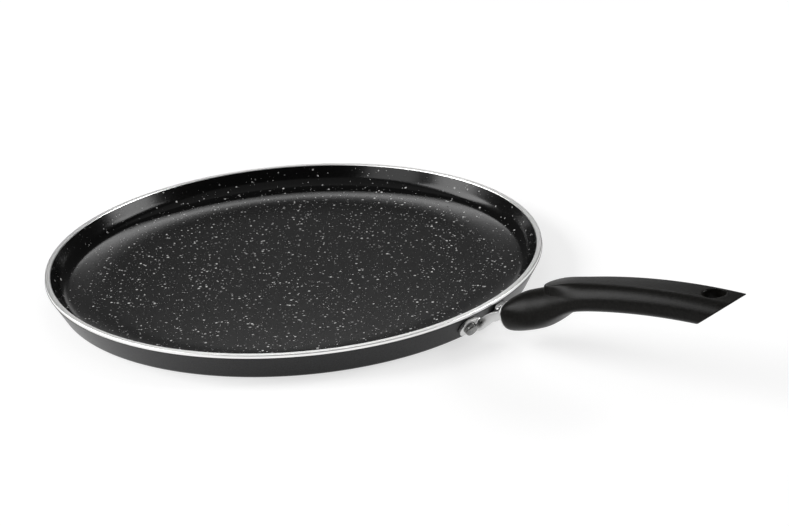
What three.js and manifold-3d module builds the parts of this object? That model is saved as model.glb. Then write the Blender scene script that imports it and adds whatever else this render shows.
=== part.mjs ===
// A flat non-stick tawa: a pressed aluminium pan, a riveted steel bracket and a moulded grip.
// Millimetres, +Z up. The origin is the centre of the base's underside and the handle runs along +X.
import * as THREE from 'three';
import { mergeVertices } from 'three/addons/utils/BufferGeometryUtils.js';
import Module from 'manifold-3d';

const wasm = await Module();
wasm.setup();

// Pan: a round dish pressed from one sheet
const rimRadius = 140;
const panHeight = 16;
const sheet = 3.2;
const wallLean = THREE.MathUtils.degToRad(28);
const baseCorner = 3;
const floorCorner = 10;
const rimLand = 1.6;
const rimChamfer = 0.3;

// Coats: skins that stand a hair off the metal
const coat = 0.25;
const coatGap = 0.05;
const coatEdge = 0.3;
const enamelStart = THREE.MathUtils.degToRad(36);

// Rivets: set square to the leaning wall, one on each side of the handle
const rivetOffset = 12.6;
const rivetHeight = 8.6;
const rivetShank = 2.3;
const rivetHead = 3.7;
const rivetHeadHeight = 2.8;
const rivetHeadRound = 1.1;
const innerHead = 4;
const innerHeadHeight = 1.2;

// Bracket: one strip of sheet steel bent into a foot, an arm, a bridge, an arm and a foot
const strap = 1.8;
const strapBend = 1.4;
const footMargin = 6.2;
const footHalf = 4.6;
const footTip = 1.2;
const armOffset = 6.6;
const armDrop = 0.3;
const armBulge = 1.1;
const armSag = 1.6;
const elbowHalf = 3.2;
const neckHalf = 1.7;
const bridgeHalf = 3.6;

// Grip: a moulded handle with an upright end that slants up, bends and crowns
const gripGap = 17.9;
const gripRaise = 1.45;
const gripReach = rimRadius + gripGap;
const gripLift = panHeight + gripRaise;
const endTilt = THREE.MathUtils.degToRad(9.4);
const endRun = 19.2;
const endDepth = 3;
const neckRise = THREE.MathUtils.degToRad(23.1);
const neckRun = 33;
const gripRise = THREE.MathUtils.degToRad(13.5);
const bendRadius = 125;
const crownRadius = 415;
const gripLength = 133.2;
const gripHalfWidth = 12.9;
const bellyDepth = 11.9;
const bellyRun = 21.2;
const waistDepth = 5.5;
const waistRun = 51.5;
const browHeight = 8.6;
const browRun = 8.8;
const crownHeight = 7.3;
const crownRun = 57.3;
const gripSquareness = 2.5;
const tailSlant = THREE.MathUtils.degToRad(51.4);
const hangHole = 5.8;
const hangSetback = 1.8;

// Thumb rest: a raised tongue along the top of the grip
const tongueStart = 29;
const tongueFront = 8;
const tongueTail = 10.4;
const tongueLift = 2.1;
const tongueDepth = 4;
const tongueSquareness = 4;

// Fixing: a screw through washer, bridge and flame guard into a moulded-in insert
const guard = 0.8;
const guardOverhang = 0.4;
const washer = 0.9;
const washerRadius = 3.6;
const screwShank = 2;
const screwHead = 3.6;
const screwHeadHeight = 2.6;
const screwReach = 13;
const insertRadius = 3.8;
const insertLength = 16;
const insertEnd = 2;

// Fits
const seat = 0.15;
const footSeat = 0.3;
const holePlay = 0.2;

// Fineness
const panSegments = 72;
const roundSegments = 24;
const arcSteps = 2;
const gripSides = 32;
const endSteps = 6;
const gripSteps = 28;
const tongueFrontSteps = 6;
const tongueSides = 20;
const footSteps = 6;
const bendSteps = 4;
const armSteps = 5;
const cutReach = 60;

const group = new THREE.Group();

// Adds one named piece with its own material
function addPiece(name, geometry, color, roughness, metalness) {
  const material = new THREE.MeshStandardMaterial({ color, roughness, metalness });
  const mesh = new THREE.Mesh(geometry, material);
  mesh.name = name;
  group.add(mesh);
}

// Turns a closed geometry into a solid, with shared corners merged and empty triangles dropped
function solidOf(geometry) {
  const bare = geometry.clone();
  bare.deleteAttribute('normal');
  bare.deleteAttribute('uv');
  const merged = mergeVertices(bare, 1e-4);
  const corners = merged.index.array;
  const kept = [];
  for (let i = 0; i < corners.length; i += 3) {
    const [a, b, c] = [corners[i], corners[i + 1], corners[i + 2]];
    if (a !== b && b !== c && c !== a) kept.push(a, b, c);
  }
  const vertProperties = new Float32Array(merged.attributes.position.array);
  const triVerts = new Uint32Array(kept);
  return new wasm.Manifold(new wasm.Mesh({ numProp: 3, vertProperties, triVerts }));
}

function geometryOf(solid) {
  const mesh = solid.getMesh();
  const geometry = new THREE.BufferGeometry();
  geometry.setAttribute('position', new THREE.BufferAttribute(new Float32Array(mesh.vertProperties), 3));
  geometry.setIndex(new THREE.BufferAttribute(new Uint32Array(mesh.triVerts), 1));
  geometry.computeVertexNormals();
  return geometry;
}

// Revolves a profile of radius and height about +Z
function turned(profile, segments) {
  return new THREE.LatheGeometry(profile, segments).rotateX(Math.PI / 2);
}

// Places a turned piece with its axis along a direction
function placed(geometry, point, direction) {
  const up = new THREE.Vector3(0, 0, 1);
  const turn = new THREE.Quaternion().setFromUnitVectors(up, direction.clone().normalize());
  return geometry.applyQuaternion(turn).translate(point.x, point.y, point.z);
}

// A rod along a direction, from one distance to another, for holes and cuts
function rod(radius, point, direction, from, to) {
  const profile = [[0, from], [radius, from], [radius, to], [0, to]].map(([r, h]) => new THREE.Vector2(r, h));
  return solidOf(placed(turned(profile, roundSegments), point, direction));
}

// A closed skin over rings of equal count, with a fan at each end
function loft(rings) {
  const count = rings[0].length;
  const points = rings.flat();
  const index = [];
  for (let k = 0; k + 1 < rings.length; k++) {
    for (let i = 0; i < count; i++) {
      const a = k * count + i;
      const b = k * count + ((i + 1) % count);
      index.push(a, b, b + count, a, b + count, a + count);
    }
  }
  const fan = (first, flip) => {
    const ring = points.slice(first, first + count);
    const middle = ring.reduce((sum, p) => sum.add(p), new THREE.Vector3()).divideScalar(count);
    points.push(middle);
    for (let i = 0; i < count; i++) {
      const a = first + i;
      const b = first + ((i + 1) % count);
      index.push(points.length - 1, ...(flip ? [b, a] : [a, b]));
    }
  };
  fan(0, true);
  fan((rings.length - 1) * count, false);
  return new THREE.BufferGeometry().setFromPoints(points).setIndex(index);
}

// Pan section: the outside wall's line, and the inside and outside outlines at an offset from the metal

function wallRadius(height) {
  return rimRadius - (panHeight - rimLand - height) * Math.tan(wallLean);
}

function innerRadius(height, offset) {
  return wallRadius(height) - (sheet + offset) / Math.cos(wallLean);
}

function insideOutline(offset, top) {
  const centreHeight = sheet + floorCorner;
  const centre = innerRadius(centreHeight, 0) - floorCorner / Math.cos(wallLean);
  const path = new THREE.Path();
  path.moveTo(0, sheet + offset);
  path.lineTo(centre, sheet + offset);
  path.absarc(centre, centreHeight, floorCorner - offset, -Math.PI / 2, -wallLean);
  path.lineTo(innerRadius(top, offset), top);
  return path.getPoints(arcSteps);
}

function outsideOutline(offset, start, top) {
  const centre = wallRadius(baseCorner) - baseCorner / Math.cos(wallLean);
  const path = new THREE.Path();
  path.absarc(centre, baseCorner, baseCorner + offset, start, -wallLean);
  path.lineTo(wallRadius(top) + offset / Math.cos(wallLean), top);
  return path.getPoints(arcSteps);
}

// A point on the leaning wall: across the handle, up the wall, and out from the metal

function wallPoint(across, height, out) {
  const radius = wallRadius(height) + out * Math.cos(wallLean);
  const turn = Math.asin(across / wallRadius(height));
  const level = height - out * Math.sin(wallLean);
  return new THREE.Vector3(radius * Math.cos(turn), radius * Math.sin(turn), level);
}

function wallNormal(across, height) {
  return wallPoint(across, height, 1).sub(wallPoint(across, height, 0));
}

const enamelOut = coatGap + coat;
const footIn = enamelOut + footSeat;
const footOut = footIn + strap;
const coatIn = -(sheet + coatGap + coat);
const rivetSides = [-1, 1];

// Drills one round hole, square to the wall, at each rivet
function drillRivets(solid, radius, from, to) {
  return rivetSides.reduce((rest, side) => {
    const point = wallPoint(side * rivetOffset, rivetHeight, 0);
    return rest.subtract(rod(radius, point, wallNormal(side * rivetOffset, rivetHeight), from, to));
  }, solid);
}

// Clears the shank's hole, and the seat of the inner head where the floor's corner rises under it
function clearRivets(geometry) {
  const headSeat = coatIn - seat;
  const drilled = drillRivets(solidOf(geometry), rivetShank + holePlay, -cutReach / 2, cutReach / 2);
  return geometryOf(drillRivets(drilled, innerHead + holePlay, -cutReach / 2, headSeat + seat));
}

function panBody() {
  const outside = outsideOutline(0, -Math.PI / 2, panHeight - rimLand);
  const rim = [
    new THREE.Vector2(rimRadius, panHeight - rimChamfer),
    new THREE.Vector2(rimRadius - rimChamfer, panHeight),
  ];
  const inside = insideOutline(0, panHeight).reverse();
  return turned([new THREE.Vector2(0, 0), ...outside, ...rim, ...inside], panSegments);
}

function nonstickCoating() {
  const metalSide = insideOutline(coatGap, panHeight - coatEdge);
  const foodSide = insideOutline(coatGap + coat, panHeight - coatEdge).reverse();
  return turned([...metalSide, ...foodSide], panSegments);
}

function exteriorEnamel() {
  const top = panHeight - rimLand - coatEdge;
  const outer = outsideOutline(enamelOut, -enamelStart - wallLean, top);
  const inner = outsideOutline(coatGap, -enamelStart - wallLean, top).reverse();
  return turned([...outer, ...inner, outer[0]], panSegments);
}

addPiece('pan_body', clearRivets(panBody()), 0xd2d2d0, 0.3, 1);
addPiece('nonstick_coating', clearRivets(nonstickCoating()), 0x303032, 0.45, 0);
addPiece('exterior_enamel', clearRivets(exteriorEnamel()), 0x46464a, 0.5, 0);

// Rivet: flat inner head, shank and a stout rounded outer head

function rivet(side) {
  const inner = coatIn - seat;
  const outer = footOut + seat;
  const shoulder = outer + rivetHeadHeight - rivetHeadRound;
  const path = new THREE.Path();
  path.moveTo(0, inner - innerHeadHeight);
  path.lineTo(innerHead, inner - innerHeadHeight);
  path.lineTo(innerHead, inner);
  path.lineTo(rivetShank, inner);
  path.lineTo(rivetShank, outer);
  path.lineTo(rivetHead, outer);
  path.lineTo(rivetHead, shoulder);
  path.absarc(rivetHead - rivetHeadRound, shoulder, rivetHeadRound, 0, Math.PI / 2);
  path.lineTo(0, outer + rivetHeadHeight);
  const point = wallPoint(side * rivetOffset, rivetHeight, 0);
  const normal = wallNormal(side * rivetOffset, rivetHeight);
  return placed(turned(path.getPoints(arcSteps), roundSegments), point, normal);
}

addPiece('rivet_right', rivet(-1), 0xb9b9b8, 0.35, 1);
addPiece('rivet_left', rivet(1), 0xb9b9b8, 0.35, 1);

// Grip spine: a straight neck, a bend and a long crowned run, in the plane of +X and +Z

function arcFrom(start, length, radius) {
  const angle = start.angle - length / radius;
  return {
    x: start.x + radius * (Math.sin(start.angle) - Math.sin(angle)),
    z: start.z + radius * (Math.cos(angle) - Math.cos(start.angle)),
    angle,
  };
}

function spineAt(run) {
  const straight = Math.min(run, neckRun);
  const neck = {
    x: gripReach + straight * Math.cos(neckRise),
    z: gripLift + straight * Math.sin(neckRise),
    angle: neckRise,
  };
  const bendRun = bendRadius * (neckRise - gripRise);
  const bend = arcFrom(neck, THREE.MathUtils.clamp(run - neckRun, 0, bendRun), bendRadius);
  return arcFrom(bend, Math.max(run - neckRun - bendRun, 0), crownRadius);
}

// A point beside the spine: across the handle and up the section, which tilts from upright at the end
// to square with the spine behind the belly
function besideSpine(run, across, above) {
  const { x, z, angle } = spineAt(run);
  const tilt = THREE.MathUtils.lerp(endTilt, angle, THREE.MathUtils.smoothstep(run, 0, bellyRun));
  return new THREE.Vector3(x - above * Math.sin(tilt), across, z + above * Math.cos(tilt));
}

const screwDirection = new THREE.Vector3(Math.cos(endTilt), 0, Math.sin(endTilt));

// Grip sizes along the spine: a deep belly behind a rounded end, drawn in to an even waist

function endInset(run) {
  const left = Math.max(1 - run / endRun, 0);
  return endDepth * (1 - Math.sqrt(1 - left * left));
}

function gripSize(run) {
  const inset = endInset(run);
  const crown = THREE.MathUtils.smoothstep(run, browRun, crownRun);
  const waist = THREE.MathUtils.smoothstep(run, bellyRun, waistRun);
  return {
    half: gripHalfWidth - inset,
    above: THREE.MathUtils.lerp(browHeight, crownHeight, crown) - inset,
    below: THREE.MathUtils.lerp(bellyDepth, waistDepth, waist) - inset,
  };
}

// One rounded section as a ring of points
function sectionRing(sides, squareness, place) {
  return Array.from({ length: sides }, (_, i) => {
    const turn = (i / sides) * 2 * Math.PI;
    const blunt = (value) => Math.sign(value) * Math.abs(value) ** (2 / squareness);
    return place(blunt(Math.cos(turn)), blunt(Math.sin(turn)));
  });
}

function gripRing(run) {
  const { half, above, below } = gripSize(run);
  return sectionRing(gripSides, gripSquareness, (across, up) =>
    besideSpine(run, across * half, up * (up > 0 ? above : below)));
}

// The lofts run past the tail, which one slanted plane then cuts
const gripOverrun = crownHeight + waistDepth + tongueLift;
const gripBlank = gripLength + gripOverrun;

function gripBody() {
  const end = Array.from({ length: endSteps }, (_, i) =>
    endRun * (1 - Math.cos((i / endSteps) * (Math.PI / 2))));
  const rest = Array.from({ length: gripSteps + 1 }, (_, i) =>
    THREE.MathUtils.lerp(endRun, gripBlank, i / gripSteps));
  return solidOf(loft([...end, ...rest].map(gripRing)));
}

function tongueHalf(run) {
  const left = Math.max(1 - (run - tongueStart) / tongueFront, 0);
  const along = (run - tongueStart) / (gripLength - tongueStart);
  return THREE.MathUtils.lerp(tongueFront, tongueTail, along) * Math.sqrt(1 - left * left);
}

function tongueRing(run) {
  const centre = gripSize(run).above + tongueLift - tongueDepth;
  return sectionRing(tongueSides, tongueSquareness, (across, up) =>
    besideSpine(run, across * tongueHalf(run), centre + up * tongueDepth));
}

function thumbTongue() {
  const front = Array.from({ length: tongueFrontSteps }, (_, i) =>
    tongueStart + tongueFront * (1 - Math.cos(((i + 1) / tongueFrontSteps) * (Math.PI / 2))));
  const rest = Array.from({ length: gripSteps }, (_, i) =>
    THREE.MathUtils.lerp(front.at(-1), gripBlank, (i + 1) / gripSteps));
  return solidOf(loft([...front, ...rest].map(tongueRing)));
}

// Everything beyond the slanted tail
function tailCutter() {
  const { x, z } = spineAt(gripLength);
  const block = new THREE.BoxGeometry(cutReach, cutReach, cutReach * 2).translate(cutReach / 2, 0, 0);
  return solidOf(block.rotateY(tailSlant).translate(x, 0, z));
}

function handleGrip() {
  const hangRun = gripLength - hangSetback;
  const hang = besideSpine(hangRun, 0, 0);
  const square = besideSpine(hangRun, 0, 1).sub(hang);
  const insertHole = rod(insertRadius + seat, besideSpine(0, 0, 0), screwDirection, -insertEnd, insertLength + seat);
  const blank = gripBody().add(thumbTongue()).subtract(tailCutter());
  return geometryOf(blank.subtract(rod(hangHole, hang, square, -cutReach, cutReach)).subtract(insertHole));
}

addPiece('handle_grip', handleGrip(), 0x2b2b2a, 0.42, 0);

// Fixing stack, measured back from the grip's end face toward the pan

const guardNear = -seat;
const guardFar = guardNear - guard;
const bridgeFar = guardFar - seat - strap;
const bridgeMiddle = bridgeFar + strap / 2;
const washerNear = bridgeFar - seat;
const headNear = washerNear - washer - seat;

function stackPoint(along, across, above) {
  return besideSpine(0, across, above).addScaledVector(screwDirection, along);
}

function onStack(profile) {
  return placed(turned(profile, roundSegments), stackPoint(0, 0, 0), screwDirection);
}

function ringProfile(inner, outer, low, high) {
  const corners = [[inner, low], [outer, low], [outer, high], [inner, high], [inner, low]];
  return corners.map(([r, h]) => new THREE.Vector2(r, h));
}

function screwHole(solid) {
  return solid.subtract(rod(screwShank + holePlay, stackPoint(0, 0, 0), screwDirection, headNear, insertLength));
}

function flameGuard() {
  const { half, above, below } = gripSize(0);
  const ring = (along) => sectionRing(gripSides, gripSquareness, (across, up) => stackPoint(
    along,
    across * (half + guardOverhang),
    up * ((up > 0 ? above : below) + guardOverhang),
  ));
  return geometryOf(screwHole(solidOf(loft([ring(guardFar), ring(guardNear)]))));
}

function lockWasher() {
  return onStack(ringProfile(screwShank + holePlay, washerRadius, washerNear - washer, washerNear));
}

function handleScrew() {
  const path = new THREE.Path();
  path.moveTo(0, headNear - screwHeadHeight);
  path.lineTo(screwHead / 2, headNear - screwHeadHeight);
  path.quadraticCurveTo(screwHead, headNear - screwHeadHeight, screwHead, headNear - screwHeadHeight / 2);
  path.lineTo(screwHead, headNear);
  path.lineTo(screwShank, headNear);
  path.lineTo(screwShank, screwReach);
  path.lineTo(0, screwReach);
  return onStack(path.getPoints(arcSteps));
}

function threadedInsert() {
  const bore = screwShank + seat;
  const corners = [[bore, 0], [insertRadius, 0], [insertRadius, insertLength], [0, insertLength],
    [0, insertLength - insertEnd], [bore, insertLength - insertEnd], [bore, 0]];
  return onStack(corners.map(([r, h]) => new THREE.Vector2(r, h)));
}

addPiece('flame_guard', flameGuard(), 0xc8c8c6, 0.25, 1);
addPiece('lock_washer', lockWasher(), 0x9a9a98, 0.35, 1);
addPiece('handle_screw', handleScrew(), 0xa8a8a6, 0.3, 1);
addPiece('threaded_insert', threadedInsert(), 0xb08d46, 0.35, 1);

// Bracket strip: a low and a high edge from the bridge to the rounded end of one foot

const footMiddle = (footIn + footOut) / 2;
const footStart = rivetOffset - rivetHead - holePlay;

function steps(count) {
  return Array.from({ length: count + 1 }, (_, i) => i / count);
}

function footStations(side) {
  const last = rivetOffset + footMargin;
  return steps(footSteps).map((share) => {
    const across = THREE.MathUtils.lerp(footStart, last, share);
    const left = Math.max(1 - (last - across) / footHalf, 0);
    const half = Math.max(footHalf * Math.sqrt(1 - left * left), footTip);
    const edge = (height) => wallPoint(side * across, height, footMiddle);
    return { low: edge(rivetHeight - half), high: edge(rivetHeight + half) };
  });
}

// The bend from the arm onto the foot follows the wall's lean
function wallBend(side) {
  return steps(bendSteps).map((share) => {
    const turn = (share * Math.PI) / 2;
    const across = footStart - strapBend * Math.cos(turn);
    const edge = (height) => {
      const point = wallPoint(side * across, height, footMiddle);
      point.x += strapBend * (1 - Math.sin(turn));
      return point;
    };
    const highHalf = THREE.MathUtils.lerp(elbowHalf, footHalf, share);
    return { low: edge(rivetHeight - footHalf), high: edge(rivetHeight + highHalf) };
  });
}

// The bend from the flat bridge back into the arm narrows to the arm's neck
function bridgeBend(side) {
  return steps(bendSteps).map((share) => {
    const turn = (share * Math.PI) / 2;
    const across = armOffset - strapBend * (1 - Math.sin(turn));
    const along = bridgeMiddle - strapBend * (1 - Math.cos(turn));
    const half = THREE.MathUtils.lerp(bridgeHalf, neckHalf, share);
    const edge = (sign) => stackPoint(along, side * across, sign * half - armDrop * share);
    return { low: edge(-1), high: edge(1) };
  });
}

// The arm runs straight between the two bends, with a bulge on its high edge and a sag on its low one
function armStations(neck, elbow) {
  return steps(armSteps).slice(1, -1).map((share) => {
    const high = neck.high.clone().lerp(elbow.high, share);
    const low = neck.low.clone().lerp(elbow.low, share);
    high.z += armBulge * Math.sin(share * Math.PI);
    low.z -= armSag * Math.sin(share * share * Math.PI);
    return { low, high };
  });
}

function halfStrip(side) {
  const bridge = bridgeBend(side);
  const wall = wallBend(side);
  return [...bridge, ...armStations(bridge.at(-1), wall[0]), ...wall, ...footStations(side).slice(1)];
}

// Thickens the strip between its two edges
function stripRings(stations) {
  return stations.map(({ low, high }, i) => {
    const before = stations[Math.max(i - 1, 0)];
    const after = stations[Math.min(i + 1, stations.length - 1)];
    const along = after.low.clone().add(after.high).sub(before.low).sub(before.high);
    const normal = high.clone().sub(low).cross(along).normalize().multiplyScalar(strap / 2);
    return [
      low.clone().sub(normal), low.clone().add(normal),
      high.clone().add(normal), high.clone().sub(normal),
    ];
  });
}

function handleBracket() {
  const stations = [...halfStrip(-1).reverse(), ...halfStrip(1)];
  const drilled = drillRivets(solidOf(loft(stripRings(stations))), rivetShank + holePlay, 0, cutReach / 4);
  return geometryOf(screwHole(drilled));
}

addPiece('handle_bracket', handleBracket(), 0xc4c4c3, 0.22, 1);

export default group;
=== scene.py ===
# %% [markdown]
# # A flat tawa, dressed in Blender
# A tawa is a shallow round griddle: one pressed aluminium dish with a dark coat inside and out,
# a bare turned rim, and a moulded stick handle that a steel bracket and two rivets hold to the wall.
# The CAD model already fixes every size. This lesson loads it as a frame, and then gives each piece
# the finer shape and the finish that a camera sees. Lengths are written in millimetres and built in
# metres, in the CAD model's frame.

# %% Load the frame
import math

import bpy
import numpy as np
from mathutils import Matrix, Vector


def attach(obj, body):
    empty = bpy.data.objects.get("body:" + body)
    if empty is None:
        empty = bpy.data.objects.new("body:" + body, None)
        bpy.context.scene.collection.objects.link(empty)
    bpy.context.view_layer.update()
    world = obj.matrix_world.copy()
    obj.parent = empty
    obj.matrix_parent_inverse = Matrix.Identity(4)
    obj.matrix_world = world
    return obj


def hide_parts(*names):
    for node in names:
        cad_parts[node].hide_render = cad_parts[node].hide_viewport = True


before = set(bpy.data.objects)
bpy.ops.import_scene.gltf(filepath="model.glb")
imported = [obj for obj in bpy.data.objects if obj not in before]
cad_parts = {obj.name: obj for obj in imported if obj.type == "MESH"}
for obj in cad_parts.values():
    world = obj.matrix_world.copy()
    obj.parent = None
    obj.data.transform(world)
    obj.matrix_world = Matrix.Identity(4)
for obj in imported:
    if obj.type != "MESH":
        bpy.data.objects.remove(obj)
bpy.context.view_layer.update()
mm = 0.001


def in_mm(lengths):
    return [round(length / mm, 2) for length in lengths]


# %% [markdown]
# ## The camera
# The picture was taken from about 1.36 m with a long lens, 22 degrees above the rim, and tilted a
# little, so that the right end of the rim stands higher. The handle points 45 degrees to the right of
# the line to the camera. The camera could be placed by eye, but a few angles say more: it first looks
# at the rim's centre, and is then panned, tipped and rolled.

# %% Camera
image_width, focal_pixels, sensor_width = 789, 2400, 36
rim_centre = Vector((0, 0, 16 * mm))
handle_turn = math.radians(45)
eye_distance = 1355.6 * mm
eye_height = math.radians(22.175)
pan_angle = math.radians(-2.374)
tip_angle = math.radians(-0.503)
roll_angle = math.radians(4.81)

right = Vector((math.cos(handle_turn), math.sin(handle_turn), 0))
away = Vector((-math.sin(handle_turn), math.cos(handle_turn), 0))
climb = Vector((0, 0, math.sin(eye_height)))
eye = rim_centre + eye_distance * (climb - math.cos(eye_height) * away)
forward = (rim_centre - eye).normalized()
above = right.cross(forward)
for angle, axis in ((pan_angle, "above"), (tip_angle, "right"), (roll_angle, "forward")):
    turn = Matrix.Rotation(angle, 3, {"above": above, "right": right, "forward": forward}[axis])
    right, above, forward = turn @ right, turn @ above, turn @ forward

lens = bpy.data.cameras.new("camera")
lens.sensor_width = sensor_width
lens.lens = focal_pixels / image_width * sensor_width
lens.clip_start = 50 * mm
camera = bpy.data.objects.new("camera", lens)
bpy.context.scene.collection.objects.link(camera)
camera.matrix_world = Matrix.LocRotScale(eye, Matrix((right, above, -forward)).transposed(), None)
bpy.context.scene.camera = camera
print("camera at", in_mm(eye), "mm, lens", round(lens.lens, 1), "mm")

# %% [markdown]
# ## Small tools for nodes
# Every tree below, for shapes and for finishes, is built by one helper. It adds a node, and each
# input is either a plain value or the output of an earlier node. An input is named, or numbered where
# a node has several of one name. The other helpers give a node's first output, or do sums.

# %% Node helpers


def add_node(tree, kind, inputs=None, **settings):
    node = tree.nodes.new(kind)
    for name, value in settings.items():
        setattr(node, name, value)
    for name, value in (inputs or {}).items():
        if isinstance(value, bpy.types.NodeSocket):
            tree.links.new(value, node.inputs[name])
        else:
            node.inputs[name].default_value = value
    return node


def made_by(tree, kind, inputs=None, **settings):
    return add_node(tree, kind, inputs, **settings).outputs[0]


def math_node(tree, operation, *values):
    return made_by(tree, "ShaderNodeMath", dict(enumerate(values)), operation=operation)


def vector_node(tree, operation, *values):
    return made_by(tree, "ShaderNodeVectorMath", dict(enumerate(values)), operation=operation)


def scaled(tree, vector, factor):
    return made_by(tree, "ShaderNodeVectorMath", {0: vector, "Scale": factor}, operation="SCALE")


# %% Shape tree helpers


def shape_tree(name, sizes):
    tree = bpy.data.node_groups.new(name, "GeometryNodeTree")
    tree.interface.new_socket("Geometry", in_out="INPUT", socket_type="NodeSocketGeometry")
    for label, kind in sizes.items():
        tree.interface.new_socket(label, in_out="INPUT", socket_type="NodeSocket" + kind)
    tree.interface.new_socket("Geometry", in_out="OUTPUT", socket_type="NodeSocketGeometry")
    return tree, tree.nodes.new("NodeGroupInput").outputs


def shape_end(tree, geometry):
    whole = made_by(tree, "GeometryNodeRealizeInstances", {"Geometry": geometry})
    tree.links.new(whole, tree.nodes.new("NodeGroupOutput").inputs[0])


def bake_shape(name, start, tree, sizes):
    holder = bpy.data.objects.new(name, start)
    bpy.context.scene.collection.objects.link(holder)
    modifier = holder.modifiers.new("shape", "NODES")
    modifier.node_group = tree
    for item in tree.interface.items_tree:
        if item.in_out == "INPUT" and item.name in sizes:
            modifier[item.identifier] = sizes[item.name]
    bpy.context.view_layer.update()
    made = holder.evaluated_get(bpy.context.evaluated_depsgraph_get())
    mesh = bpy.data.meshes.new_from_object(made)
    bpy.data.objects.remove(holder)
    for k in reversed(range(len(mesh.materials))):
        if mesh.materials[k] is None:
            mesh.materials.pop(index=k)
    return mesh


def add_piece(name, mesh, node):
    mesh.name = name
    piece = bpy.data.objects.new(name, mesh)
    bpy.context.scene.collection.objects.link(piece)
    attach(piece, "root")
    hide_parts(node)
    triangles = sum(len(face.vertices) - 2 for face in mesh.polygons)
    print(name, "has", triangles, "triangles and measures", in_mm(piece.dimensions), "mm")


# %% [markdown]
# ## Finishes
# Each finish is a Principled shader whose colour, roughness and bump come from noise in Object
# coordinates, so nothing depends on an image. Turned metal needs fine rings: its noise is read by the
# distance from the pan's axis and by the height alone, so it makes circles. A coat needs a fine grain.
# Moulded phenolic has a grain of about 1 mm that breaks up its highlights.

# %% Finish helper


def new_finish(name, color, roughness, metallic=0.0, specular=0.5):
    finish = bpy.data.materials.new(name)
    finish.use_nodes = True
    tree = finish.node_tree
    shader = tree.nodes["Principled BSDF"]
    shader.inputs["Base Color"].default_value = (*color, 1)
    shader.inputs["Roughness"].default_value = roughness
    shader.inputs["Metallic"].default_value = metallic
    shader.inputs["Specular IOR Level"].default_value = specular
    place = add_node(tree, "ShaderNodeTexCoord").outputs["Object"]
    return finish, tree, shader, place


# %% Noise helpers
noise_low, noise_high = 0.3, 0.7


def grain(tree, vector, scale, detail):
    return made_by(tree, "ShaderNodeTexNoise", {"Vector": vector, "Scale": scale, "Detail": detail})


def ranged(tree, value, low, high):
    inputs = {"Value": value, "From Min": noise_low, "From Max": noise_high, "To Min": low, "To Max": high}
    return made_by(tree, "ShaderNodeMapRange", inputs)


def color_ramp(tree, value, dark, light, low=0.0, high=1.0):
    ramp = add_node(tree, "ShaderNodeValToRGB", {"Fac": value})
    for element, color, position in zip(ramp.color_ramp.elements, (dark, light), (low, high)):
        element.color = (*color, 1)
        element.position = position
    return ramp.outputs[0]


def grained(tree, shader, noise, dark, light, rough_range, depth):
    tint = color_ramp(tree, noise, dark, light, noise_low, noise_high)
    tree.links.new(tint, shader.inputs["Base Color"])
    tree.links.new(ranged(tree, noise, *rough_range), shader.inputs["Roughness"])
    bump = made_by(tree, "ShaderNodeBump", {"Height": noise, "Strength": 1.0, "Distance": depth})
    tree.links.new(bump, shader.inputs["Normal"])


def from_axis(tree, place):
    parts = add_node(tree, "ShaderNodeSeparateXYZ", {0: place}).outputs
    flat = made_by(tree, "ShaderNodeCombineXYZ", {0: parts[0], 1: parts[1]})
    length = add_node(tree, "ShaderNodeVectorMath", {0: flat}, operation="LENGTH").outputs["Value"]
    return made_by(tree, "ShaderNodeCombineXYZ", {0: length, 1: parts[2]})


# %% Metals
ring_detail, ring_spread = 3.0, (0.75, 1.25)
cloud_detail, cloud_spread = 4.0, (0.7, 1.3)


def spread_of(roughness, shares):
    return [roughness * share for share in shares]


def turned_metal(name, dark, light, roughness, scale, depth):
    finish, tree, shader, place = new_finish(name, light, roughness, metallic=1.0)
    rings = grain(tree, from_axis(tree, place), scale, ring_detail)
    grained(tree, shader, rings, dark, light, spread_of(roughness, ring_spread), depth)
    return finish


def polished_metal(name, dark, light, roughness, scale, depth):
    finish, tree, shader, place = new_finish(name, light, roughness, metallic=1.0)
    cloud = grain(tree, place, scale, cloud_detail)
    grained(tree, shader, cloud, dark, light, spread_of(roughness, cloud_spread), depth)
    return finish


bare_aluminium = turned_metal(
    "bare_aluminium", dark=(0.90, 0.90, 0.89), light=(0.97, 0.97, 0.96),
    roughness=0.33, scale=2400, depth=0.003 * mm,
)
rivet_metal = polished_metal(
    "rivet_metal", dark=(0.18, 0.18, 0.18), light=(0.3, 0.3, 0.29),
    roughness=0.24, scale=500, depth=0.02 * mm,
)
satin_steel = polished_metal(
    "satin_steel", dark=(0.78, 0.78, 0.78), light=(0.84, 0.84, 0.83),
    roughness=0.34, scale=160, depth=0.001 * mm,
)
screw_steel = polished_metal(
    "screw_steel", dark=(0.48, 0.48, 0.48), light=(0.62, 0.62, 0.61),
    roughness=0.32, scale=900, depth=0.01 * mm,
)
turned_brass = polished_metal(
    "turned_brass", dark=(0.52, 0.38, 0.16), light=(0.72, 0.56, 0.27),
    roughness=0.3, scale=700, depth=0.01 * mm,
)
print("metals:", [m.name for m in (bare_aluminium, rivet_metal, satin_steel, screw_steel, turned_brass)])

# %% Coats and moulded phenolic
coat_detail, coat_spread = 3.0, (0.9, 1.15)


def coat_finish(name, dark, light, roughness, specular, scale, depth):
    finish, tree, shader, place = new_finish(name, light, roughness, specular=specular)
    fine = grain(tree, place, scale, coat_detail)
    grained(tree, shader, fine, dark, light, spread_of(roughness, coat_spread), depth)
    return finish


def fleck_finish(name, dark, light, roughness, specular):
    finish, tree, shader, _ = new_finish(name, light, roughness, specular=specular)
    shade = add_node(tree, "ShaderNodeAttribute", attribute_name="fleck_shade").outputs["Fac"]
    tree.links.new(color_ramp(tree, shade, dark, light), shader.inputs["Base Color"])
    return finish


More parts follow.
